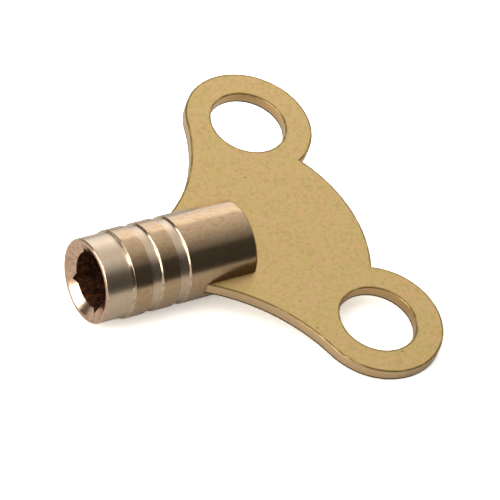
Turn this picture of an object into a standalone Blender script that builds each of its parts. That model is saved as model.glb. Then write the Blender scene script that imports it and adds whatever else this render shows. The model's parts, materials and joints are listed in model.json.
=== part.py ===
"""Radiator bleed key: a turned brass barrel with a square socket, slotted over a stamped brass wing plate.

Both pieces are modelled along +X, from the socket's mouth at X = 0 to the far edge of the plate's ears,
with the plate level in the XY plane. An empty then carries them in the pose in which the key lies on a table:
on the barrel, rolled over until one ear touches.
"""
import math

import bmesh
import bpy
from mathutils import Vector

MM = 0.001

# Barrel, turned from round bar
BAR_DIAMETER = 9.5 * MM
BARREL_LENGTH = 18.32 * MM
NOSE_LENGTH = 3.32 * MM
NOSE_STEP = 0.2 * MM
NOSE_EDGE_BREAK = 0.2 * MM
RING_COUNT = 2
RING_PITCH = 3.37 * MM
RING_GROOVE_WIDTH = 1.3 * MM
RING_GROOVE_DEPTH = 0.22 * MM

# Socket, drilled, countersunk to a narrow rim and broached square
SOCKET_ACROSS_FLATS = 5.0 * MM
SOCKET_DEPTH = 8.5 * MM
CHIP_ROOM = 1.0 * MM
PILOT_DIAMETER = 6.0 * MM
PILOT_POINT_ANGLE = math.radians(118.0)
COUNTERSINK_ANGLE = math.radians(116.0)
RIM_WIDTH = 0.22 * MM

# Wing plate, stamped from sheet, with its lengths measured from its front edge
PLATE_THICKNESS = 1.3 * MM
EAR_SETBACK = 15.95 * MM
EAR_SPACING = 28.7 * MM
EAR_DIAMETER = 14.3 * MM
EAR_HOLE_SETBACK = 15.87 * MM
EAR_HOLE_DIAMETER = 8.4 * MM
SIDE_ARC_RADIUS = 19.4 * MM
DOME_RADIUS = 16.5 * MM
DOME_SETBACK = 20.9 * MM

# Seat of the plate in the slot at the barrel's rear end
SEAT_LENGTH = 6.2 * MM
SLOT_CLEARANCE = 0.05 * MM

# Brass finishes, as linear colour and roughness
TURNED_COLOR = (0.55, 0.40, 0.22)
TURNED_ROUGHNESS = 0.25
SHEET_COLOR = (0.58, 0.40, 0.17)
SHEET_ROUGHNESS = 0.35

# Faceting of round shapes, and the edges that are shaded sharp
TURNING_STEPS = 72
ARC_STEP_ANGLE = math.radians(6.0)
SHARP_EDGE_ANGLE = math.radians(25.0)

# Length by which a cutter runs past its piece, and the gap that a turned shape closes
CUTTER_OVERRUN = 2.0 * MM
MERGE_DISTANCE = 0.001 * MM

# Places that follow from these sizes
NOSE_DIAMETER = BAR_DIAMETER - 2 * NOSE_STEP
COUNTERSINK_DIAMETER = NOSE_DIAMETER - 2 * (NOSE_EDGE_BREAK + RIM_WIDTH)
PILOT_DEPTH = SOCKET_DEPTH + CHIP_ROOM
PLATE_FRONT = BARREL_LENGTH - SEAT_LENGTH
EAR_CENTRE = PLATE_FRONT + EAR_SETBACK
EAR_HOLE_CENTRE = PLATE_FRONT + EAR_HOLE_SETBACK
DOME_REACH = PLATE_FRONT + DOME_SETBACK
EAR_TIP = EAR_SPACING / 2 + EAR_DIAMETER / 2

# Roll at which the barrel and one ear touch the table, and the facets' start that lays one of them flat there
TIP_DISTANCE = math.hypot(EAR_TIP, PLATE_THICKNESS / 2)
KEY_ROLL = math.asin(BAR_DIAMETER / 2 / TIP_DISTANCE) - math.atan2(PLATE_THICKNESS / 2, EAR_TIP)
FACET_START = KEY_ROLL + math.pi / TURNING_STEPS


def clear_scene():
    """Start from an empty scene."""
    for item in list(bpy.data.objects):
        bpy.data.objects.remove(item, do_unlink=True)


def new_collection(name):
    collection = bpy.data.collections.new(name)
    bpy.context.scene.collection.children.link(collection)
    return collection


def brass(name, color, roughness):
    """A plain brass with its own colour and polish."""
    material = bpy.data.materials.new(name)
    material.use_nodes = True
    shader = material.node_tree.nodes["Principled BSDF"]
    shader.inputs["Base Color"].default_value = (*color, 1.0)
    shader.inputs["Roughness"].default_value = roughness
    shader.inputs["Metallic"].default_value = 1.0
    return material


def new_object(name, data, collection):
    item = bpy.data.objects.new(name, data)
    collection.objects.link(item)
    return item


def barrel_profile():
    """Half section of the barrel as (radius, distance behind the mouth), from the bore's tip to the rear end."""
    pilot = PILOT_DIAMETER / 2
    bar = BAR_DIAMETER / 2
    nose = NOSE_DIAMETER / 2
    sink = COUNTERSINK_DIAMETER / 2
    point_length = pilot / math.tan(PILOT_POINT_ANGLE / 2)
    sink_depth = (sink - pilot) / math.tan(COUNTERSINK_ANGLE / 2)
    points = [
        (0.0, PILOT_DEPTH + point_length),
        (pilot, PILOT_DEPTH),
        (pilot, sink_depth),
        (sink, 0.0),
        (nose - NOSE_EDGE_BREAK, 0.0),
        (nose, NOSE_EDGE_BREAK),
        (nose, NOSE_LENGTH),
        (bar, NOSE_LENGTH),
    ]
    for ring in range(RING_COUNT):
        groove_end = NOSE_LENGTH + (ring + 1) * RING_PITCH
        groove_start = groove_end - RING_GROOVE_WIDTH
        points += [
            (bar, groove_start),
            (bar - RING_GROOVE_DEPTH, groove_start),
            (bar - RING_GROOVE_DEPTH, groove_end),
            (bar, groove_end),
        ]
    points += [(bar, BARREL_LENGTH), (0.0, BARREL_LENGTH)]
    return points


def turned(name, points, collection):
    """Turn a half section round the local Z axis, with the mouth at the top."""
    mesh = bpy.data.meshes.new(name)
    profile = bmesh.new()
    start_x = math.cos(FACET_START)
    start_y = math.sin(FACET_START)
    vertices = [profile.verts.new((radius * start_x, radius * start_y, -depth)) for radius, depth in points]
    for start, end in zip(vertices, vertices[1:]):
        profile.edges.new((start, end))
    profile.to_mesh(mesh)
    profile.free()
    item = new_object(name, mesh, collection)
    screw = item.modifiers.new("Turn", "SCREW")
    screw.steps = TURNING_STEPS
    screw.render_steps = TURNING_STEPS
    screw.use_merge_vertices = True
    screw.merge_threshold = MERGE_DISTANCE
    return item


def box_cutter(name, low, high, collection):
    """A wire box between two corners, for cutting."""
    mesh = bpy.data.meshes.new(name)
    box = bmesh.new()
    bmesh.ops.create_cube(box, size=1.0)
    bmesh.ops.scale(box, vec=high - low, verts=box.verts)
    bmesh.ops.translate(box, vec=(high + low) / 2, verts=box.verts)
    box.to_mesh(mesh)
    box.free()
    item = new_object(name, mesh, collection)
    item.hide_render = True
    item.display_type = "WIRE"
    return item


def cut(item, cutter):
    boolean = item.modifiers.new(cutter.name, "BOOLEAN")
    boolean.operation = "DIFFERENCE"
    boolean.solver = "EXACT"
    boolean.object = cutter


def shade_round(item):
    """Shade the evaluated shape smooth, with its turned and broached edges sharp."""
    depsgraph = bpy.context.evaluated_depsgraph_get()
    mesh = bpy.data.meshes.new_from_object(item.evaluated_get(depsgraph))
    mesh.name = item.name
    mesh.shade_smooth()
    mesh.set_sharp_from_angle(angle=SHARP_EDGE_ANGLE)
    item.modifiers.clear()
    item.data = mesh


def make_barrel(parts, cutters):
    """Turn the barrel, broach its socket and slit its rear end for the plate."""
    barrel = turned("socket_barrel", barrel_profile(), parts)
    flat = SOCKET_ACROSS_FLATS / 2
    broach = box_cutter(
        "socket_broach",
        Vector((-flat, -flat, -SOCKET_DEPTH)),
        Vector((flat, flat, CUTTER_OVERRUN)),
        cutters,
    )
    slot_half = PLATE_THICKNESS / 2 + SLOT_CLEARANCE
    slot_reach = BAR_DIAMETER / 2 + CUTTER_OVERRUN
    saw = box_cutter(
        "slot_saw",
        Vector((-slot_half, -slot_reach, -BARREL_LENGTH - CUTTER_OVERRUN)),
        Vector((slot_half, slot_reach, -PLATE_FRONT + SLOT_CLEARANCE)),
        cutters,
    )
    cut(barrel, broach)
    cut(barrel, saw)
    shade_round(barrel)
    barrel.data.materials.append(brass("turned_brass", TURNED_COLOR, TURNED_ROUGHNESS))
    barrel.rotation_euler.y = -math.pi / 2
    return barrel


def arc(centre, radius, start, end):
    """Points along an arc from one angle to another, both ends included."""
    steps = max(1, math.ceil(abs(end - start) / ARC_STEP_ANGLE))
    angles = [start + (end - start) * step / steps for step in range(steps + 1)]
    return [centre + radius * Vector((math.cos(angle), math.sin(angle))) for angle in angles]


def meeting_points(centre_a, radius_a, centre_b, radius_b):
    """The two points where two circles cross."""
    between = centre_b - centre_a
    gap = between.length
    along = (radius_a**2 - radius_b**2 + gap**2) / (2 * gap)
    offset = math.sqrt(radius_a**2 - along**2)
    base = centre_a + between * (along / gap)
    side = Vector((-between.y, between.x)) * (offset / gap)
    return base + side, base - side


def direction_angle(start, end):
    return math.atan2(end.y - start.y, end.x - start.x)


def wing_half_outline():
    """One half of the plate's edge, from its front corner round the ear to the top of the dome."""
    root = Vector((PLATE_FRONT, BAR_DIAMETER / 2))
    ear = Vector((EAR_CENTRE, EAR_SPACING / 2))
    ear_radius = EAR_DIAMETER / 2
    dome = Vector((DOME_REACH - DOME_RADIUS, 0.0))
    crossings = meeting_points(root, SIDE_ARC_RADIUS, ear, SIDE_ARC_RADIUS + ear_radius)
    side = max(crossings, key=lambda point: point.y)
    corner = max(meeting_points(ear, ear_radius, dome, DOME_RADIUS), key=lambda point: point.x)

    side_arc = arc(side, SIDE_ARC_RADIUS, direction_angle(side, root), direction_angle(side, ear))
    ear_start = direction_angle(ear, side)
    ear_end = direction_angle(ear, corner)
    if ear_start < ear_end:
        ear_start += 2 * math.pi
    ear_arc = arc(ear, ear_radius, ear_start, ear_end)
    dome_arc = arc(dome, DOME_RADIUS, direction_angle(dome, corner), 0.0)
    return side_arc + ear_arc[1:] + dome_arc[1:]


def add_loop(curve, points):
    spline = curve.splines.new("POLY")
    spline.points.add(len(points) - 1)
    for target, point in zip(spline.points, points):
        target.co = (point.x, point.y, 0.0, 1.0)
    spline.use_cyclic_u = True


def make_plate(parts):
    """Stamp the wing plate, with a finger hole in each ear."""
    curve = bpy.data.curves.new("wing_plate", "CURVE")
    curve.dimensions = "2D"
    curve.fill_mode = "BOTH"
    curve.extrude = PLATE_THICKNESS / 2
    half = wing_half_outline()
    other_half = [Vector((point.x, -point.y)) for point in reversed(half[:-1])]
    add_loop(curve, half + other_half)
    for side in (1, -1):
        hole_centre = Vector((EAR_HOLE_CENTRE, side * EAR_SPACING / 2))
        add_loop(curve, arc(hole_centre, EAR_HOLE_DIAMETER / 2, 0.0, 2 * math.pi)[:-1])
    plate = new_object("wing_plate", curve, parts)
    plate.data.materials.append(brass("sheet_brass", SHEET_COLOR, SHEET_ROUGHNESS))
    return plate


def lay_on_table(pieces, parts):
    """Carry the pieces on an empty at the barrel's axis, rolled until the ear at -Y touches the table."""
    key_length = max(EAR_CENTRE + EAR_DIAMETER / 2, DOME_REACH)
    rest = new_object("key_rest", None, parts)
    rest.location = (-key_length / 2, 0.0, BAR_DIAMETER / 2)
    rest.rotation_euler.x = KEY_ROLL
    for piece in pieces:
        piece.parent = rest


def main():
    clear_scene()
    parts = new_collection("radiator_bleed_key")
    cutters = new_collection("cutters")
    barrel = make_barrel(parts, cutters)
    plate = make_plate(parts)
    lay_on_table([barrel, plate], parts)


main()
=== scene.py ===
"""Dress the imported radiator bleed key: a turned brass barrel and a stamped brass wing plate on a white table.

The file is laid out as an add-on and run as a script. One operator makes each piece, and one makes the stage:
the table, the black card, the softboxes and the camera. Lengths are in metres, and MM turns millimetres into
them.
"""
import json
import math

import bmesh
import bpy
from bpy.props import FloatProperty, FloatVectorProperty, PointerProperty
from mathutils import Matrix, Vector


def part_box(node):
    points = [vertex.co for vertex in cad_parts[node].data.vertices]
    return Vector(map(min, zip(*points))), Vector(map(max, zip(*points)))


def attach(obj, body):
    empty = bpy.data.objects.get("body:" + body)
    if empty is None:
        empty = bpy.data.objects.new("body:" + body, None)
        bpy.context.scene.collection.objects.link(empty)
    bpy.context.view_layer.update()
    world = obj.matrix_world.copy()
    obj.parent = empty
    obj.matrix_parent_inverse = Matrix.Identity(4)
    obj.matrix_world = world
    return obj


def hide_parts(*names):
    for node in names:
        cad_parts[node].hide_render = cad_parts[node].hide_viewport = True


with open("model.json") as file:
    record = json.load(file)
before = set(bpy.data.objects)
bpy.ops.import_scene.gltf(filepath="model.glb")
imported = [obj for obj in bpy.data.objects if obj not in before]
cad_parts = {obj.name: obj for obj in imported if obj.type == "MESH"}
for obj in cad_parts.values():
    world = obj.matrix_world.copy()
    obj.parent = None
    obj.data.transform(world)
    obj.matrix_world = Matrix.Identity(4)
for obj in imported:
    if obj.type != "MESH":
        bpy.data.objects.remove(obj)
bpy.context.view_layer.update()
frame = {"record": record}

bl_info = {
    "name": "Radiator Bleed Key",
    "version": (1, 0, 0),
    "blender": (4, 5, 0),
    "location": "3D View > Sidebar > Bleed Key",
    "description": "Models a brass radiator bleed key and the studio it is pictured in",
    "category": "Object",
}

MM = 0.001

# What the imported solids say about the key
BARREL_LOW, BARREL_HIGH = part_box("socket_barrel")
FACE_MOUNT, BACK_MOUNT = (
    next(mount for mount in frame["record"]["mounts"] if mount["name"] == name)
    for name in ("handle_face", "handle_back")
)
PLATE_THICKNESS = (Vector(FACE_MOUNT["pos_m"]) - Vector(BACK_MOUNT["pos_m"])).length
KEY_ROLL = math.atan2(-FACE_MOUNT["axis"][1], FACE_MOUNT["axis"][2])

# Fineness of the meshes
TURNING_STEPS = 192
PROFILE_STEP = 0.3 * MM
ROUNDING_SEGMENTS = 6
ARC_STEP_ANGLE = math.radians(1.5)
COPLANAR_ANGLE = ARC_STEP_ANGLE / 10
CUTTER_OVERRUN = 2.0 * MM
MERGE_DISTANCE = 0.001 * MM
SHARP_EDGE_ANGLE = math.radians(32.0)
RING_WALLS = 3

# Finishes of the barrel and of the plate, in the order of their materials
DRAWN, TURNED, FACED, BROACHED, COUNTERSUNK = range(5)
# On the plate, the second finish is painted shade along the face's rounded edge
SATIN, EDGE_SHADE, SHEARED, PUNCHED = range(4)

# Parts of a face's normal that tell the finishes apart: two along the barrel, one away from its axis, and two
# out of the sheet
MOUTH_FACING = -0.8
WALL_FACING = -0.35
BORE_FACING = -0.1
FLAT = 0.999
STEEP = 0.5

# Real sizes that set the scale of the patterns in the finishes
SHEET_CLOUD = 1.3 * MM
PIT_SPACING = 1.9 * MM
# Size of the random brighter patches that break the painted shade line along the face's edge
SHADE_LINE_PATCH = 1.2 * MM
TORN_RIPPLE = 0.45 * MM
TARNISH_SPOT = 0.5 * MM
FACING_MARK = 0.4 * MM
WATER_STAIN = 0.4 * MM

# Marks that are only 0.05 to 0.1 mm wide on a real key, too fine for the picture, and are drawn coarser so
# that they show
SATIN_GRAIN = 0.4 * MM
STREAK_LENGTH = 1.2 * MM
STREAK_WIDTH = 0.25 * MM
TOOL_MARK_LENGTH = 2.0 * MM
TOOL_MARK_PITCH = 0.13 * MM
TOOL_GRAIN = 0.22 * MM

# Depth of the relief in each finish
SATIN_RELIEF = 0.01 * MM
TORN_RELIEF = 0.08 * MM
DRAWN_RELIEF = 0.004 * MM
TURNED_RELIEF = 0.006 * MM
FACED_RELIEF = 0.005 * MM
BROACHED_RELIEF = 0.05 * MM

# Sheared edges: how far the ripple moves the torn band's border, the height over which that band fades, and
# the heights above the back between which the dark foot band, partly burr dirt and partly painted shade, fades
# out
TORN_WAVER = 1.2 * MM
TORN_FADE = 0.8 * MM
FOOT_SHADE_FULL = 0.14 * MM
FOOT_SHADE_END = 0.28 * MM

# Level of a pit's random colour above which the pit holds dirt
DIRTY_PIT = 0.72

# Softboxes, seen from the key: azimuth and elevation in degrees, distance, width and height in metres,
# radiance, colour
WHITE = (1.0, 1.0, 1.0)
SOFTBOXES = {
    "back_softbox": (57.0, 22.5, 0.45, 0.36, 0.34, 0.95, (0.94, 1.0, 1.1)),
    "left_softbox": (178.0, 24.0, 0.35, 0.40, 0.28, 2.9, WHITE),
    "strip_softbox": (176.0, 7.5, 0.33, 0.34, 0.08, 2.5, WHITE),
    "high_softbox": (-148.0, 59.0, 0.38, 0.17, 0.15, 2.2, WHITE),
    "overhead_softbox": (-125.0, 72.0, 0.40, 0.36, 0.36, 0.54, WHITE),
}
# Light through the tent round the key: where it is brightest, in degrees, how fast it falls off, and its two
# levels
TENT_AZIMUTH = 45.0
TENT_ELEVATION = 48.0
TENT_FALL = 6.0
TENT_LIGHT = 0.95
TENT_GLOOM = 0.06


def srgb(code):
    """A hex colour as linear red, green and blue."""
    parts = [int(code[place:place + 2], 16) / 255 for place in (1, 3, 5)]
    return tuple(part / 12.92 if part <= 0.04045 else ((part + 0.055) / 1.055) ** 2.4 for part in parts)


def length(label, description, default):
    """A length that a user can change."""
    return FloatProperty(name=label, description=description, default=default, unit="LENGTH", precision=5)


def angle(label, description, degrees):
    """An angle that a user can change."""
    return FloatProperty(name=label, description=description, default=math.radians(degrees), subtype="ANGLE")


def colour(label, description, code):
    """A colour that a user can change."""
    return FloatVectorProperty(name=label, description=description, default=srgb(code), subtype="COLOR")


class BarrelSizes(bpy.types.PropertyGroup):
    """Sizes of the turned barrel, measured along its axis from the mouth"""

    bar: length("Bar", "Diameter of the round bar", BARREL_HIGH.z - BARREL_LOW.z)
    reach: length("Length", "Length from the mouth to the rear end", BARREL_HIGH.x - BARREL_LOW.x)
    nose_length: length("Nose length", "Length turned down behind the mouth", 3.32 * MM)
    nose_step: length("Nose step", "Depth that the nose is turned down by", 0.2 * MM)
    nose_round: length("Nose rounding", "Radius worn on the mouth's outer edge", 0.2 * MM)
    ring_pitch: length("Ring pitch", "Distance from one ring wall to the next", 3.37 * MM)
    groove_width: length("Groove width", "Width of the groove in front of each ring wall", 1.3 * MM)
    groove_depth: length("Groove depth", "Depth of each ring groove", 0.22 * MM)
    wall_slope: angle("Wall slope", "Slope of the ring walls against the axis", 50.0)
    ramp: length("Ramp", "Length of the slope from the nose up to the first ring wall", 0.36 * MM)
    ramp_rise: length("Ramp rise", "Height of that slope at the foot of the first ring wall", 0.16 * MM)
    cove: length("Cove", "Rounding at the foot of the ring walls", 0.09 * MM)
    ramp_round: length("Ramp rounding", "Rounding where that slope begins and ends", 0.03 * MM)
    edge_round: length("Edge rounding", "Rounding on the rings' edges", 0.05 * MM)
    rear_round: length("Rear rounding", "Rounding on the rear end's edge", 0.4 * MM)
    flats: length("Socket", "Width across the socket's flats", 5.0 * MM)
    socket_depth: length("Socket depth", "Depth of the broached square", 8.5 * MM)
    broach_round: length("Broach rounding", "Radius in the socket's corners", 0.1 * MM)
    pilot: length("Pilot", "Diameter of the drilled hole", 6.0 * MM)
    pilot_depth: length("Pilot depth", "Depth of the drilled hole's wall", 9.5 * MM)
    pilot_point: angle("Drill point", "Angle of the drill's point", 118.0)
    sink: length("Countersink", "Diameter of the countersink at the mouth", 8.26 * MM)
    sink_angle: angle("Countersink angle", "Angle of the countersink", 116.0)
    slot_front: length("Slot", "Distance from the mouth to the slot's floor", 12.07 * MM)
    slot_clearance: length("Slot clearance", "Gap on each side of the plate", 0.05 * MM)


class PlateSizes(bpy.types.PropertyGroup):
    """Sizes of the stamped wing plate, with lengths measured from its front edge"""

    front: length("Front", "Distance from the mouth to the plate's front edge", 12.12 * MM)
    root_width: length("Root width", "Width of the plate's front edge", 9.5 * MM)
    ear_setback: length("Ear setback", "Distance to the ears' centres", 15.95 * MM)
    ear_spacing: length("Ear spacing", "Distance between the ears' centres", 28.7 * MM)
    ear: length("Ear", "Diameter of an ear", 14.298 * MM)
    hole_setback: length("Hole setback", "Distance to the ear holes' centres", 15.87 * MM)
    ear_hole: length("Ear hole", "Diameter of the hole in an ear", 8.4 * MM)
    side_arc: length("Side arc", "Radius of the hollow side below an ear", 19.4 * MM)
    dome: length("Dome", "Radius of the dome between the ears", 16.5 * MM)
    dome_setback: length("Dome setback", "Distance to the top of the dome", 20.9 * MM)
    die_roll: length("Die roll", "Rounding that the punch draws into the face's edge", 0.1 * MM)
    # The face's outermost strip of this width is painted darker, as shade along its rounded edge
    shade_line: length("Dirt line", "Width of the dirty line along the face's edge", 0.12 * MM)
    burr_round: length("Burr rounding", "Rounding left on the back's edge", 0.05 * MM)


class BrassColours(bpy.types.PropertyGroup):
    """Colours of the brass finishes"""

    sheet: colour("Sheet", "Satin face of the plate", "#CCB273")
    sheet_warm: colour("Sheet, warm", "Warmer clouds in the plate's face", "#D6AE7C")
    sheet_dull: colour("Sheet, dull", "Duller speckle in the plate's face", "#BCA064")
    speck: colour("Specks", "Dirt in the plate's small pits", "#6E5832")
    # Painted shade along the face's rounded edge, on a thin strip of the face and the top of the rounding
    edge_shade_tint: colour("Rolled edge", "Dirty line where the punch drew the face's edge down", "#8C7444")
    burnish: colour("Burnished edge", "Band that the punch polished on the plate's edge", "#DFC094")
    fracture: colour("Torn edge", "Grainy band where the sheet tore", "#D8B88C")
    punched: colour("Punched hole", "Burnished band inside the ear holes", "#E4BC86")
    # Dark band at the foot of the plate's edge: partly burr dirt, partly painted shade
    burr_dirt_and_shade: colour("Burr", "Dirt along the edge of the plate's back", "#4E3E2A")
    drawn: colour("Drawn bar", "Bar as it was drawn", "#C4A884")
    drawn_dark: colour("Drawn bar, streaks", "Darker streaks along the bar", "#BA9D7C")
    tarnish: colour("Tarnish", "Orange tarnish on the drawn bar", "#A87548")
    turned: colour("Turned", "Freshly turned surfaces", "#DDC8AF")
    turned_dark: colour("Turned, marks", "Darker tool marks", "#CDB496")
    faced: colour("Faced", "Ring walls and mouth", "#DCC6AA")
    faced_dark: colour("Faced, marks", "Darker patches on the faced surfaces", "#BE9F80")
    countersunk: colour("Countersink", "Countersink in the mouth", "#DDBB9E")
    countersunk_dark: colour("Countersink, marks", "Darker patches in the countersink", "#BE967A")
    socket: colour("Socket", "Broached inside of the socket", "#74482A")
    socket_dark: colour("Socket, stains", "Dark stains inside the socket", "#381C10")


class StudioSettings(bpy.types.PropertyGroup):
    """Camera, table and black card"""

    azimuth: angle("Azimuth", "Direction of the camera round the key, from +X", -129.034)
    elevation: angle("Elevation", "Height of the camera above the table", 38.160)
    roll: angle("Roll", "Turn of the camera about its own axis", 11.894)
    distance: length("Distance", "Distance from the camera to the point it looks at", 396.7 * MM)
    aim: FloatVectorProperty(
        name="Aim", description="Point that the camera looks at", unit="LENGTH", precision=5,
        default=(1.651 * MM, -1.641 * MM, 4.75 * MM),
    )
    lens: FloatProperty(name="Lens", description="Focal length in millimetres", default=269.94)
    table: colour("Table", "Paper on the table", "#DEDCD8")
    table_boost: FloatProperty(
        name="Table boost", description="Light added to the table for the camera", default=1.55
    )
    table_lift: FloatProperty(name="Table lift", description="Glow of the table for the camera", default=0.53)
    table_shine: FloatProperty(name="Table shine", description="Glow of the table in the brass", default=0.04)
    table_size: length("Table size", "Width of the table's paper", 3000 * MM)
    card: colour("Card", "Black card beside the key", "#3B3B3B")
    card_azimuth: angle("Card azimuth", "Direction of the card round the key", -72.0)
    card_distance: length("Card distance", "Distance from the key's middle to the card", 44 * MM)
    card_shift: length("Card shift", "Shift of the card along its width", 12 * MM)
    card_width: length("Card width", "Width of the card", 90 * MM)
    card_height: length("Card height", "Height of the card", 48 * MM)
    card_lift: length("Card lift", "Gap below the card", 2 * MM)


def key_placement():
    """From the key's own axes to how it lies on the table.

    On its own axes the mouth is at the origin, the barrel runs along +X and the plate is level.
    """
    mouth = Vector((BARREL_LOW.x, 0.0, (BARREL_LOW.z + BARREL_HIGH.z) / 2))
    return Matrix.Translation(mouth) @ Matrix.Rotation(KEY_ROLL, 4, "X")


def new_piece(name, shape):
    """Turn a bmesh into an object at the origin and free the bmesh."""
    mesh = bpy.data.meshes.new(name)
    shape.to_mesh(mesh)
    shape.free()
    item = bpy.data.objects.new(name, mesh)
    bpy.context.scene.collection.objects.link(item)
    return item


def tidy_normals(shape):
    """Close a shape's seams and point its faces outwards."""
    bmesh.ops.remove_doubles(shape, verts=shape.verts, dist=MERGE_DISTANCE)
    bmesh.ops.recalc_face_normals(shape, faces=shape.faces)


def shade(mesh):
    """Shade a mesh smooth, with its sharp edges kept."""
    mesh.shade_smooth()
    mesh.set_sharp_from_angle(angle=SHARP_EDGE_ANGLE)


def round_corners(shape, corners, radius):
    """Round some corners of a profile or some edges of a solid."""
    affect = "VERTICES" if isinstance(corners[0], bmesh.types.BMVert) else "EDGES"
    bmesh.ops.bevel(
        shape, geom=corners, offset=radius, offset_type="OFFSET", segments=ROUNDING_SEGMENTS, profile=0.5,
        affect=affect, material=-1, clamp_overlap=affect == "VERTICES",
    )


def ring_walls(sizes):
    """Depths of the ring walls behind the mouth. The first ends the nose."""
    return [sizes.nose_length + ring * sizes.ring_pitch for ring in range(RING_WALLS)]


def barrel_corners(sizes):
    """Corners of the barrel's half section as (depth behind the mouth, radius, rounding)."""
    bar = sizes.bar / 2
    nose = bar - sizes.nose_step
    pilot = sizes.pilot / 2
    sink = sizes.sink / 2
    edge = sizes.edge_round
    floor = bar - sizes.groove_depth
    lean = 1.0 / math.tan(sizes.wall_slope)
    first_foot = sizes.nose_length - (sizes.nose_step - sizes.ramp_rise) * lean
    point_length = pilot / math.tan(sizes.pilot_point / 2)
    sink_depth = (sink - pilot) / math.tan(sizes.sink_angle / 2)
    corners = [
        (sizes.pilot_depth + point_length, 0.0, 0.0),
        (sizes.pilot_depth, pilot, 0.0),
        (sink_depth, pilot, edge),
        (0.0, sink, edge),
        (0.0, nose, sizes.nose_round),
        (first_foot - sizes.ramp, nose, sizes.cove),
        (first_foot, nose + sizes.ramp_rise, sizes.ramp_round),
        (sizes.nose_length, bar, sizes.ramp_round),
    ]
    for wall in ring_walls(sizes)[1:]:
        corners += [
            (wall - sizes.groove_width, bar, edge),
            (wall - sizes.groove_width, floor, edge),
            (wall - sizes.groove_depth * lean, floor, sizes.cove),
            (wall, bar, edge),
        ]
    return corners + [(sizes.reach, bar, sizes.rear_round), (sizes.reach, 0.0, 0.0)]


def turned_shape(corners):
    """Turn a half section round the X axis, with its corners rounded."""
    shape = bmesh.new()
    points = [(shape.verts.new((depth, 0.0, radius)), rounding) for depth, radius, rounding in corners]
    for (start, _), (end, _) in zip(points, points[1:]):
        shape.edges.new((start, end))
    for radius in sorted({rounding for _, rounding in points if rounding}):
        round_corners(shape, [point for point, rounding in points if rounding == radius], radius)
    for edge in list(shape.edges):
        cuts = int(edge.calc_length() / PROFILE_STEP)
        if cuts:
            bmesh.ops.subdivide_edges(shape, edges=[edge], cuts=cuts)
    bmesh.ops.spin(
        shape, geom=shape.verts[:] + shape.edges[:], cent=(0.0, 0.0, 0.0), axis=(1.0, 0.0, 0.0),
        angle=2 * math.pi, steps=TURNING_STEPS, use_merge=True,
    )
    tidy_normals(shape)
    return shape


def box_tool(name, low, high, rounding=0.0):
    """A box between two corners, with its edges along X rounded, to cut with."""
    shape = bmesh.new()
    bmesh.ops.create_cube(shape, size=1.0)
    bmesh.ops.scale(shape, vec=high - low, verts=shape.verts)
    bmesh.ops.translate(shape, vec=(high + low) / 2, verts=shape.verts)
    if rounding:
        long_edges = [
            edge for edge in shape.edges if abs((edge.verts[0].co - edge.verts[1].co).x) > MERGE_DISTANCE
        ]
        round_corners(shape, long_edges, rounding)
    return new_piece(name, shape)


def cut(item, tools):
    """Cut the tools' shapes out of a piece for good, and put the tools away."""
    for tool in tools:
        boolean = item.modifiers.new(tool.name, "BOOLEAN")
        boolean.operation = "DIFFERENCE"
        boolean.solver = "EXACT"
        boolean.object = tool
    depsgraph = bpy.context.evaluated_depsgraph_get()
    mesh = bpy.data.meshes.new_from_object(item.evaluated_get(depsgraph))
    item.modifiers.clear()
    item.data = mesh
    for tool in tools:
        bpy.data.objects.remove(tool, do_unlink=True)


def barrel_finish(sizes, centre, normal):
    """Which of the barrel's finishes a face has."""
    outward = Vector((0.0, centre.y, centre.z)).normalized().dot(normal)
    depth = centre.x
    walls = ring_walls(sizes)
    if depth < sizes.nose_length / 2 and normal.x < MOUTH_FACING:
        return COUNTERSUNK
    if outward < BORE_FACING:
        return BROACHED
    if normal.x < WALL_FACING and depth < walls[-1]:
        return FACED
    turned = depth < walls[0] or any(wall - sizes.groove_width < depth < wall for wall in walls[1:])
    return TURNED if turned else DRAWN


def wing_outline(sizes, shape):
    """Draw the plate's closed edge as arcs: hollow side, ear and half of the dome, mirrored."""
    root = Vector((0.0, sizes.root_width / 2, 0.0))
    ear = Vector((sizes.ear_setback, sizes.ear_spacing / 2, 0.0))
    ear_radius = sizes.ear / 2
    dome = Vector((sizes.dome_setback - sizes.dome, 0.0, 0.0))
    side = circle_meeting(root, sizes.side_arc, ear, sizes.side_arc + ear_radius, Vector((0.0, 1.0, 0.0)))
    notch = circle_meeting(ear, ear_radius, dome, sizes.dome, Vector((1.0, 0.0, 0.0)))
    tangent = side.lerp(ear, sizes.side_arc / (sizes.side_arc + ear_radius))
    crown = Vector((sizes.dome_setback, 0.0, 0.0))

    start = shape.verts.new(root)
    last = draw_arc(shape, start, side, tangent, 1)
    last = draw_arc(shape, last, ear, notch, -1)
    draw_arc(shape, last, dome, crown, -1)
    bmesh.ops.mirror(shape, geom=shape.verts[:] + shape.edges[:], axis="Y", merge_dist=MERGE_DISTANCE)
    front = [vertex for vertex in shape.verts if len(vertex.link_edges) == 1]
    shape.edges.new(front)


def circle_meeting(centre_a, radius_a, centre_b, radius_b, towards):
    """The point where two circles cross that lies further in a direction."""
    between = centre_b - centre_a
    gap = between.length
    along = (radius_a**2 - radius_b**2 + gap**2) / (2 * gap)
    offset = math.sqrt(radius_a**2 - along**2)
    base = centre_a + between * (along / gap)
    side = Vector((-between.y, between.x, 0.0)) * (offset / gap)
    return max(base + side, base - side, key=lambda point: point.dot(towards))


def draw_arc(shape, start, centre, end, turn):
    """Spin a vertex round a centre to an end point, anticlockwise if turn is 1. Returns the last vertex."""
    from_angle = math.atan2(start.co.y - centre.y, start.co.x - centre.x)
    to_angle = math.atan2(end.y - centre.y, end.x - centre.x)
    sweep = (turn * (to_angle - from_angle)) % (2 * math.pi)
    spun = bmesh.ops.spin(
        shape, geom=[start], cent=centre, axis=(0.0, 0.0, 1.0), angle=turn * sweep,
        steps=max(1, math.ceil(sweep / ARC_STEP_ANGLE)),
    )
    return next(item for item in spun["geom_last"] if isinstance(item, bmesh.types.BMVert))


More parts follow.
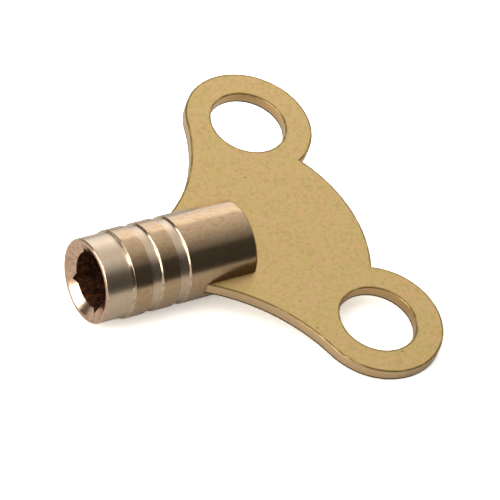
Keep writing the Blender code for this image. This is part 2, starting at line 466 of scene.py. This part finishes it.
def plate_shape(sizes):
    """Blank the plate with its ear holes, give it its thickness and roll its edges over."""
    shape = bmesh.new()
    wing_outline(sizes, shape)
    for side in (1, -1):
        hole = Matrix.Translation((sizes.hole_setback, side * sizes.ear_spacing / 2, 0.0))
        bmesh.ops.create_circle(
            shape, radius=sizes.ear_hole / 2, segments=round(2 * math.pi / ARC_STEP_ANGLE), matrix=hole
        )
    bmesh.ops.triangle_fill(
        shape, use_beauty=True, use_dissolve=False, edges=shape.edges, normal=(0.0, 0.0, 1.0)
    )
    bmesh.ops.dissolve_limit(
        shape, angle_limit=COPLANAR_ANGLE, use_dissolve_boundaries=False,
        verts=shape.verts, edges=shape.edges,
    )
    sheet = bmesh.ops.extrude_face_region(shape, geom=shape.faces[:])
    raised = [item for item in sheet["geom"] if isinstance(item, bmesh.types.BMVert)]
    bmesh.ops.translate(shape, vec=(0.0, 0.0, PLATE_THICKNESS), verts=raised)
    bmesh.ops.translate(shape, vec=(0.0, 0.0, -PLATE_THICKNESS / 2), verts=shape.verts)
    tidy_normals(shape)
    for height, rounding in ((1, sizes.die_roll), (-1, sizes.burr_round)):
        rim = [
            edge for edge in shape.edges
            if all(vertex.co.z * height > PLATE_THICKNESS / 4 for vertex in edge.verts)
            and any(abs(face.normal.z) < STEEP for face in edge.link_faces)
        ]
        round_corners(shape, rim, rounding)
    # A thin strip round the face takes the painted shade of its rounded edge
    face = [face for face in shape.faces if face.normal.z > FLAT]
    line = bmesh.ops.inset_region(
        shape, faces=face, use_boundary=True, use_even_offset=True, thickness=sizes.shade_line
    )
    for strip in line["faces"]:
        strip.material_index = EDGE_SHADE
    bmesh.ops.translate(shape, vec=(sizes.front, 0.0, 0.0), verts=shape.verts)
    return shape


def plate_finish(sizes, centre, normal):
    """Which of the plate's finishes a face has."""
    if abs(normal.z) > FLAT:
        return SATIN
    # The top of the edge's rounding takes the same painted shade
    if normal.z > STEEP:
        return EDGE_SHADE
    ear = Vector((sizes.front + sizes.hole_setback, math.copysign(sizes.ear_spacing / 2, centre.y)))
    in_hole = (centre.to_2d() - ear).length < (sizes.ear_hole + sizes.ear) / 4
    return PUNCHED if in_hole else SHEARED


def add_node(tree, kind, inputs=None, **settings):
    """Add a node, set its properties, and give each input a value or a link from an output."""
    node = tree.nodes.new(kind)
    for name, value in settings.items():
        setattr(node, name, value)
    for name, value in (inputs or {}).items():
        if isinstance(value, bpy.types.NodeSocket):
            tree.links.new(value, node.inputs[name])
        else:
            node.inputs[name].default_value = value
    return node


def new_material(name, **inputs):
    """A metal with some of its shader's inputs set, its node tree and its shader."""
    material = bpy.data.materials.new(name)
    material.use_nodes = True
    shader = material.node_tree.nodes["Principled BSDF"]
    shader.inputs["Metallic"].default_value = 1.0
    for label, value in inputs.items():
        shader.inputs[label.replace("_", " ")].default_value = value
    return material, material.node_tree, shader


def key_coordinates(tree, scale=(1.0, 1.0, 1.0)):
    """Coordinates on the key's own axes, for patterns that follow the barrel or the sheet."""
    back = key_placement().inverted()
    place = add_node(tree, "ShaderNodeTexCoord").outputs["Object"]
    level = add_node(
        tree, "ShaderNodeMapping",
        {"Vector": place, "Location": back.to_translation(), "Rotation": back.to_euler()},
    )
    sized = add_node(tree, "ShaderNodeMapping", {"Vector": level.outputs["Vector"], "Scale": scale})
    return sized.outputs["Vector"]


def per(size):
    """Pattern scale that gives features of a real size."""
    return 1.0 / size


def rgba(tint):
    """A colour with full alpha, as colour sockets take it."""
    return (*tint, 1.0)


def satin_sheet_brass(tints):
    """Rolled sheet brass, tumbled dull: an even glow with warm clouds, a fine speckle and a few dark pits."""
    material, tree, shader = new_material("satin_sheet_brass", Roughness=0.38)
    place = key_coordinates(tree)
    clouds = add_node(tree, "ShaderNodeTexNoise", {"Vector": place, "Scale": per(SHEET_CLOUD), "Detail": 5.0})
    cloud = add_node(
        tree, "ShaderNodeMapRange", {"Value": clouds.outputs["Fac"], "From Min": 0.35, "From Max": 0.7}
    )
    warm = add_node(
        tree, "ShaderNodeMix",
        {"Factor": cloud.outputs[0], "A": rgba(tints.sheet), "B": rgba(tints.sheet_warm)}, data_type="RGBA",
    )
    grain = add_node(
        tree, "ShaderNodeTexNoise",
        {"Vector": place, "Scale": per(SATIN_GRAIN), "Detail": 3.0, "Roughness": 0.6},
    )
    dull = add_node(
        tree, "ShaderNodeMapRange", {"Value": grain.outputs["Fac"], "From Min": 0.45, "From Max": 0.75}
    )
    speckled = add_node(
        tree, "ShaderNodeMix",
        {"Factor": dull.outputs[0], "A": warm.outputs["Result"], "B": rgba(tints.sheet_dull)},
        data_type="RGBA",
    )
    pits = add_node(tree, "ShaderNodeTexVoronoi", {"Vector": place, "Scale": per(PIT_SPACING)})
    pit = add_node(
        tree, "ShaderNodeMapRange",
        {"Value": pits.outputs["Distance"], "From Min": 0.03, "From Max": 0.1, "To Min": 0.8, "To Max": 0.0},
    )
    few = add_node(
        tree, "ShaderNodeMath", {0: pits.outputs["Color"], 1: DIRTY_PIT}, operation="GREATER_THAN"
    )
    speck = add_node(tree, "ShaderNodeMath", {0: pit.outputs[0], 1: few.outputs[0]}, operation="MULTIPLY")
    tint = add_node(
        tree, "ShaderNodeMix",
        {"Factor": speck.outputs[0], "A": speckled.outputs["Result"], "B": rgba(tints.speck)},
        data_type="RGBA",
    )
    tree.links.new(tint.outputs["Result"], shader.inputs["Base Color"])
    bump = add_node(tree, "ShaderNodeBump", {"Height": clouds.outputs["Fac"], "Distance": SATIN_RELIEF})
    tree.links.new(bump.outputs["Normal"], shader.inputs["Normal"])
    return material


def edge_shade_brass(tints):
    """Edge of the face, drawn down by the punch: painted shade in a thin line round the plate and its holes."""
    material, tree, shader = new_material("edge_shade_brass", Roughness=0.34)
    place = key_coordinates(tree)
    # Random patches break the painted shade line and show the sheet's own colour
    line_patches = add_node(tree, "ShaderNodeTexNoise", {"Vector": place, "Scale": per(SHADE_LINE_PATCH), "Detail": 4.0})
    bright = add_node(
        tree, "ShaderNodeMapRange", {"Value": line_patches.outputs["Fac"], "From Min": 0.5, "From Max": 0.75}
    )
    tint = add_node(
        tree, "ShaderNodeMix", {"Factor": bright.outputs[0], "A": rgba(tints.edge_shade_tint), "B": rgba(tints.sheet)},
        data_type="RGBA",
    )
    tree.links.new(tint.outputs["Result"], shader.inputs["Base Color"])
    return material


def sheared_brass(tints, name, top, roughness):
    """Edge of the stamping: a burnished band, torn grain below it, and burr dirt with painted shade at its
    foot.
    """
    material, tree, shader = new_material(name, Roughness=roughness)
    place = key_coordinates(tree)
    height = add_node(tree, "ShaderNodeSeparateXYZ", {"Vector": place}).outputs["Z"]
    ripple = add_node(tree, "ShaderNodeTexNoise", {"Vector": place, "Scale": per(TORN_RIPPLE), "Detail": 4.0})
    waver = add_node(
        tree, "ShaderNodeMath", {0: ripple.outputs["Fac"], 1: TORN_WAVER, 2: height}, operation="MULTIPLY_ADD"
    )
    band = add_node(
        tree, "ShaderNodeMapRange", {"Value": waver.outputs[0], "From Min": 0.0, "From Max": TORN_FADE}
    )
    torn = add_node(
        tree, "ShaderNodeMix", {"Factor": band.outputs[0], "A": rgba(tints.fracture), "B": rgba(top)},
        data_type="RGBA",
    )
    low = -PLATE_THICKNESS / 2
    # Darker towards the back's edge: partly burr dirt, partly painted shade
    foot = add_node(
        tree, "ShaderNodeMapRange",
        {"Value": height, "From Min": low + FOOT_SHADE_FULL, "From Max": low + FOOT_SHADE_END},
    )
    tint = add_node(
        tree, "ShaderNodeMix",
        {"Factor": foot.outputs[0], "A": rgba(tints.burr_dirt_and_shade), "B": torn.outputs["Result"]}, data_type="RGBA",
    )
    tree.links.new(tint.outputs["Result"], shader.inputs["Base Color"])
    bump = add_node(tree, "ShaderNodeBump", {"Height": ripple.outputs["Fac"], "Distance": TORN_RELIEF})
    tree.links.new(bump.outputs["Normal"], shader.inputs["Normal"])
    return material


def drawn_brass(tints):
    """Round bar as drawn through its die: half bright, with streaks along its length and orange tarnish."""
    material, tree, shader = new_material("drawn_brass", Roughness=0.2)
    along = key_coordinates(tree, (per(STREAK_LENGTH), per(STREAK_WIDTH), per(STREAK_WIDTH)))
    streaks = add_node(
        tree, "ShaderNodeTexNoise", {"Vector": along, "Scale": 1.0, "Detail": 3.0, "Roughness": 0.6}
    )
    streak = add_node(
        tree, "ShaderNodeMapRange", {"Value": streaks.outputs["Fac"], "From Min": 0.3, "From Max": 0.7}
    )
    tint = add_node(
        tree, "ShaderNodeMix",
        {"Factor": streak.outputs[0], "A": rgba(tints.drawn_dark), "B": rgba(tints.drawn)}, data_type="RGBA",
    )
    stains = add_node(
        tree, "ShaderNodeTexNoise",
        {"Vector": key_coordinates(tree), "Scale": per(TARNISH_SPOT), "Detail": 4.0},
    )
    stain = add_node(
        tree, "ShaderNodeMapRange",
        {"Value": stains.outputs["Fac"], "From Min": 0.5, "From Max": 0.75, "To Max": 0.5},
    )
    stained = add_node(
        tree, "ShaderNodeMix",
        {"Factor": stain.outputs[0], "A": tint.outputs["Result"], "B": rgba(tints.tarnish)}, data_type="RGBA",
    )
    tree.links.new(stained.outputs["Result"], shader.inputs["Base Color"])
    bump = add_node(tree, "ShaderNodeBump", {"Height": streaks.outputs["Fac"], "Distance": DRAWN_RELIEF})
    tree.links.new(bump.outputs["Normal"], shader.inputs["Normal"])
    return material


def turned_brass(tints):
    """Brass fresh from the lathe: pale, with tool marks round it that spread highlights along the barrel."""
    material, tree, shader = new_material(
        "turned_brass", Roughness=0.33, Anisotropic=0.8, Anisotropic_Rotation=0.25
    )
    around = add_node(tree, "ShaderNodeTangent", direction_type="RADIAL", axis="X")
    tree.links.new(around.outputs["Tangent"], shader.inputs["Tangent"])
    across = key_coordinates(tree, (per(TOOL_MARK_PITCH), per(TOOL_MARK_LENGTH), per(TOOL_MARK_LENGTH)))
    marks = add_node(
        tree, "ShaderNodeTexNoise", {"Vector": across, "Scale": 1.0, "Detail": 3.0, "Roughness": 0.6}
    )
    mark = add_node(
        tree, "ShaderNodeMapRange", {"Value": marks.outputs["Fac"], "From Min": 0.3, "From Max": 0.7}
    )
    tint = add_node(
        tree, "ShaderNodeMix",
        {"Factor": mark.outputs[0], "A": rgba(tints.turned_dark), "B": rgba(tints.turned)}, data_type="RGBA",
    )
    tree.links.new(tint.outputs["Result"], shader.inputs["Base Color"])
    grain = add_node(
        tree, "ShaderNodeTexNoise", {"Vector": key_coordinates(tree), "Scale": per(TOOL_GRAIN), "Detail": 2.0}
    )
    bump = add_node(tree, "ShaderNodeBump", {"Height": grain.outputs["Fac"], "Distance": TURNED_RELIEF})
    tree.links.new(bump.outputs["Normal"], shader.inputs["Normal"])
    return material


def faced_brass(name, pale, dark):
    """Ring walls, mouth and countersink, cut across the barrel: smooth enough to flash in the light."""
    material, tree, shader = new_material(name, Roughness=0.17)
    place = key_coordinates(tree)
    marks = add_node(tree, "ShaderNodeTexNoise", {"Vector": place, "Scale": per(FACING_MARK), "Detail": 4.0})
    mark = add_node(
        tree, "ShaderNodeMapRange", {"Value": marks.outputs["Fac"], "From Min": 0.3, "From Max": 0.6}
    )
    tint = add_node(
        tree, "ShaderNodeMix", {"Factor": mark.outputs[0], "A": rgba(dark), "B": rgba(pale)}, data_type="RGBA"
    )
    tree.links.new(tint.outputs["Result"], shader.inputs["Base Color"])
    bump = add_node(tree, "ShaderNodeBump", {"Height": marks.outputs["Fac"], "Distance": FACED_RELIEF})
    tree.links.new(bump.outputs["Normal"], shader.inputs["Normal"])
    return material


def broached_brass(tints):
    """Inside of the socket, torn by the broach and stained by water: dull brown with dark patches."""
    material, tree, shader = new_material("broached_brass", Roughness=0.55, Metallic=0.6)
    place = key_coordinates(tree)
    stains = add_node(tree, "ShaderNodeTexNoise", {"Vector": place, "Scale": per(WATER_STAIN), "Detail": 4.0})
    stain = add_node(
        tree, "ShaderNodeMapRange", {"Value": stains.outputs["Fac"], "From Min": 0.4, "From Max": 0.65}
    )
    tint = add_node(
        tree, "ShaderNodeMix",
        {"Factor": stain.outputs[0], "A": rgba(tints.socket_dark), "B": rgba(tints.socket)}, data_type="RGBA",
    )
    tree.links.new(tint.outputs["Result"], shader.inputs["Base Color"])
    bump = add_node(tree, "ShaderNodeBump", {"Height": stains.outputs["Fac"], "Distance": BROACHED_RELIEF})
    tree.links.new(bump.outputs["Normal"], shader.inputs["Normal"])
    return material


def white_paper(studio):
    """Paper on the table: matt white, lifted for the camera so that only close shadows show.

    In the brass it shows as the lamps light it, with a faint glow.
    """
    material = bpy.data.materials.new("white_paper")
    material.use_nodes = True
    tree = material.node_tree
    tree.nodes.clear()
    rays = add_node(tree, "ShaderNodeLightPath").outputs
    seen = add_node(
        tree, "ShaderNodeMath", {0: rays["Is Camera Ray"], 1: rays["Is Transmission Ray"]},
        operation="MAXIMUM",
    )
    lift = add_node(tree, "ShaderNodeMath", {0: seen.outputs[0], 1: studio.table_lift}, operation="MULTIPLY")
    glow = add_node(
        tree, "ShaderNodeMath", {0: rays["Is Glossy Ray"], 1: studio.table_shine, 2: lift.outputs[0]},
        operation="MULTIPLY_ADD",
    )
    boost = add_node(
        tree, "ShaderNodeMath", {0: seen.outputs[0], 1: studio.table_boost, 2: 1.0}, operation="MULTIPLY_ADD"
    )
    tint = add_node(
        tree, "ShaderNodeVectorMath", {0: studio.table, "Scale": boost.outputs[0]}, operation="SCALE"
    )
    paper = add_node(tree, "ShaderNodeBsdfDiffuse", {"Color": tint.outputs[0]})
    shine = add_node(tree, "ShaderNodeEmission", {"Color": rgba(studio.table), "Strength": glow.outputs[0]})
    both = add_node(tree, "ShaderNodeAddShader", {0: paper.outputs[0], 1: shine.outputs[0]})
    add_node(tree, "ShaderNodeOutputMaterial", {"Surface": both.outputs[0]})
    return material


def direction(azimuth, elevation):
    """A unit vector towards a place in the studio, seen from the key, from angles in degrees."""
    turn = Matrix.Rotation(math.radians(azimuth), 3, "Z") @ Matrix.Rotation(math.radians(-elevation), 3, "Y")
    return turn @ Vector((1.0, 0.0, 0.0))


def light_tent():
    """Light through a white tent: brightest behind the key and fading to the dark room behind the camera."""
    world = bpy.data.worlds.new("light_tent")
    world.use_nodes = True
    tree = world.node_tree
    towards = add_node(tree, "ShaderNodeTexCoord").outputs["Generated"]
    facing = add_node(
        tree, "ShaderNodeVectorMath", {0: towards, 1: direction(TENT_AZIMUTH, TENT_ELEVATION)},
        operation="DOT_PRODUCT",
    )
    near = add_node(
        tree, "ShaderNodeMapRange",
        {"Value": facing.outputs["Value"], "From Min": -1.0, "From Max": 1.0, "To Min": 0.0, "To Max": 1.0},
    )
    fall = add_node(tree, "ShaderNodeMath", {0: near.outputs["Result"], 1: TENT_FALL}, operation="POWER")
    level = add_node(
        tree, "ShaderNodeMath", {0: fall.outputs[0], 1: TENT_LIGHT, 2: TENT_GLOOM}, operation="MULTIPLY_ADD"
    )
    rays = add_node(tree, "ShaderNodeLightPath").outputs
    seen = add_node(
        tree, "ShaderNodeMath", {0: rays["Is Camera Ray"], 1: rays["Is Transmission Ray"]},
        operation="MAXIMUM",
    )
    strength = add_node(tree, "ShaderNodeMix", {"Factor": seen.outputs[0], "A": level.outputs[0], "B": 1.0})
    tree.links.new(strength.outputs["Result"], tree.nodes["Background"].inputs["Strength"])
    tree.nodes["Background"].inputs["Color"].default_value = (1.0, 1.0, 1.0, 1.0)
    return world


def black_card(studio):
    """A black card, out of the picture, that gives the barrel's flank its dark band."""
    shape = bmesh.new()
    bmesh.ops.create_grid(shape, x_segments=1, y_segments=1, size=0.5)
    bmesh.ops.scale(shape, vec=(studio.card_height, studio.card_width, 1.0), verts=shape.verts)
    upright = Matrix.Rotation(math.pi / 2, 3, "Y")
    bmesh.ops.rotate(shape, cent=(0.0, 0.0, 0.0), matrix=upright, verts=shape.verts)
    place = Vector((studio.card_distance, studio.card_shift, studio.card_lift + studio.card_height / 2))
    bmesh.ops.translate(shape, vec=place, verts=shape.verts)
    around = Matrix.Rotation(studio.card_azimuth, 3, "Z")
    bmesh.ops.rotate(shape, cent=(0.0, 0.0, 0.0), matrix=around, verts=shape.verts)
    card = new_piece("black_card", shape)
    black = bpy.data.materials.new("black_card")
    black.use_nodes = True
    black.node_tree.nodes["Principled BSDF"].inputs["Base Color"].default_value = rgba(studio.card)
    card.data.materials.append(black)
    card.visible_camera = False
    return card


def softbox(name, azimuth, elevation, distance, width, height, radiance, tint):
    """A soft panel of light that faces the key, with the power that gives it its radiance."""
    lamp = bpy.data.lights.new(name, "AREA")
    lamp.shape = "RECTANGLE"
    lamp.size = width
    lamp.size_y = height
    lamp.energy = radiance * math.pi * width * height
    lamp.color = tint
    item = bpy.data.objects.new(name, lamp)
    bpy.context.scene.collection.objects.link(item)
    towards = direction(azimuth, elevation)
    item.location = towards * distance
    item.rotation_euler = towards.to_track_quat("Z", "Y").to_euler()
    item.visible_camera = False


class BLEEDKEY_OT_barrel(bpy.types.Operator):
    """Turn the barrel, countersink and broach its socket, and saw the slot for the plate"""

    bl_idname = "bleedkey.barrel"
    bl_label = "Turn Barrel"

    def execute(self, context):
        sizes = context.scene.bleedkey_barrel
        tints = context.scene.bleedkey_colours
        barrel = new_piece("turned_barrel", turned_shape(barrel_corners(sizes)))
        flat = sizes.flats / 2
        broach = box_tool(
            "socket_broach", Vector((-CUTTER_OVERRUN, -flat, -flat)),
            Vector((sizes.socket_depth, flat, flat)), sizes.broach_round,
        )
        half_slot = PLATE_THICKNESS / 2 + sizes.slot_clearance
        saw = box_tool(
            "slot_saw", Vector((sizes.slot_front, -sizes.bar, -half_slot)),
            Vector((sizes.reach + CUTTER_OVERRUN, sizes.bar, half_slot)),
        )
        cut(barrel, [broach, saw])
        for finish in (
            drawn_brass(tints),
            turned_brass(tints),
            faced_brass("faced_brass", tints.faced, tints.faced_dark),
            broached_brass(tints),
            faced_brass("countersunk_brass", tints.countersunk, tints.countersunk_dark),
        ):
            barrel.data.materials.append(finish)
        for face in barrel.data.polygons:
            face.material_index = barrel_finish(sizes, face.center, face.normal)
        shade(barrel.data)
        barrel.data.transform(key_placement())
        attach(barrel, "root")
        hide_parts("socket_barrel")
        return {"FINISHED"}


class BLEEDKEY_OT_plate(bpy.types.Operator):
    """Stamp the wing plate with its two holed ears"""

    bl_idname = "bleedkey.plate"
    bl_label = "Stamp Plate"

    def execute(self, context):
        sizes = context.scene.bleedkey_plate
        tints = context.scene.bleedkey_colours
        plate = new_piece("stamped_plate", plate_shape(sizes))
        for finish in (
            satin_sheet_brass(tints),
            edge_shade_brass(tints),
            sheared_brass(tints, "sheared_brass", tints.burnish, roughness=0.4),
            sheared_brass(tints, "punched_brass", tints.punched, roughness=0.22),
        ):
            plate.data.materials.append(finish)
        for face in plate.data.polygons:
            face.material_index = face.material_index or plate_finish(sizes, face.center, face.normal)
        shade(plate.data)
        for face in plate.data.polygons:
            face.use_smooth = abs(face.normal.z) < FLAT
        plate.data.transform(key_placement())
        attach(plate, "root")
        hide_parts("wing_plate")
        return {"FINISHED"}


class BLEEDKEY_OT_stage(bpy.types.Operator):
    """Lay the table, hang the softboxes and set up the camera"""

    bl_idname = "bleedkey.stage"
    bl_label = "Set Stage"

    def execute(self, context):
        studio = context.scene.bleedkey_studio
        shape = bmesh.new()
        bmesh.ops.create_grid(shape, x_segments=1, y_segments=1, size=studio.table_size / 2)
        table = new_piece("table_paper", shape)
        table.data.materials.append(white_paper(studio))
        black_card(studio)

        context.scene.world = light_tent()
        for name, settings in SOFTBOXES.items():
            softbox(name, *settings)

        lens = bpy.data.cameras.new("camera")
        lens.lens = studio.lens
        lens.clip_start = 10 * MM
        camera = bpy.data.objects.new("camera", lens)
        context.scene.collection.objects.link(camera)
        away = direction(math.degrees(studio.azimuth), math.degrees(studio.elevation))
        facing = away.to_track_quat("Z", "Y").to_matrix().to_4x4() @ Matrix.Rotation(studio.roll, 4, "Z")
        camera.matrix_world = Matrix.Translation(Vector(studio.aim) + away * studio.distance) @ facing
        context.scene.camera = camera
        context.scene.view_settings.view_transform = "Standard"
        return {"FINISHED"}


class BLEEDKEY_PT_panel(bpy.types.Panel):
    """Sizes, colours and steps of the bleed key"""

    bl_idname = "BLEEDKEY_PT_panel"
    bl_label = "Radiator Bleed Key"
    bl_space_type = "VIEW_3D"
    bl_region_type = "UI"
    bl_category = "Bleed Key"

    def draw(self, context):
        for group in GROUPS:
            box = self.layout.box()
            settings = getattr(context.scene, group)
            for name in settings.bl_rna.properties.keys():
                if name not in ("rna_type", "name"):
                    box.prop(settings, name)
        for step in STEPS:
            self.layout.operator(step.bl_idname)


GROUPS = {
    "bleedkey_barrel": BarrelSizes,
    "bleedkey_plate": PlateSizes,
    "bleedkey_colours": BrassColours,
    "bleedkey_studio": StudioSettings,
}
STEPS = (BLEEDKEY_OT_barrel, BLEEDKEY_OT_plate, BLEEDKEY_OT_stage)


def register():
    for item in (*GROUPS.values(), *STEPS, BLEEDKEY_PT_panel):
        bpy.utils.register_class(item)
    for name, group in GROUPS.items():
        setattr(bpy.types.Scene, name, PointerProperty(type=group))


def unregister():
    for name in GROUPS:
        delattr(bpy.types.Scene, name)
    for item in reversed((*GROUPS.values(), *STEPS, BLEEDKEY_PT_panel)):
        bpy.utils.unregister_class(item)


def main():
    register()
    bpy.ops.bleedkey.barrel()
    bpy.ops.bleedkey.plate()
    bpy.ops.bleedkey.stage()


if __name__ == "__main__":
    main()
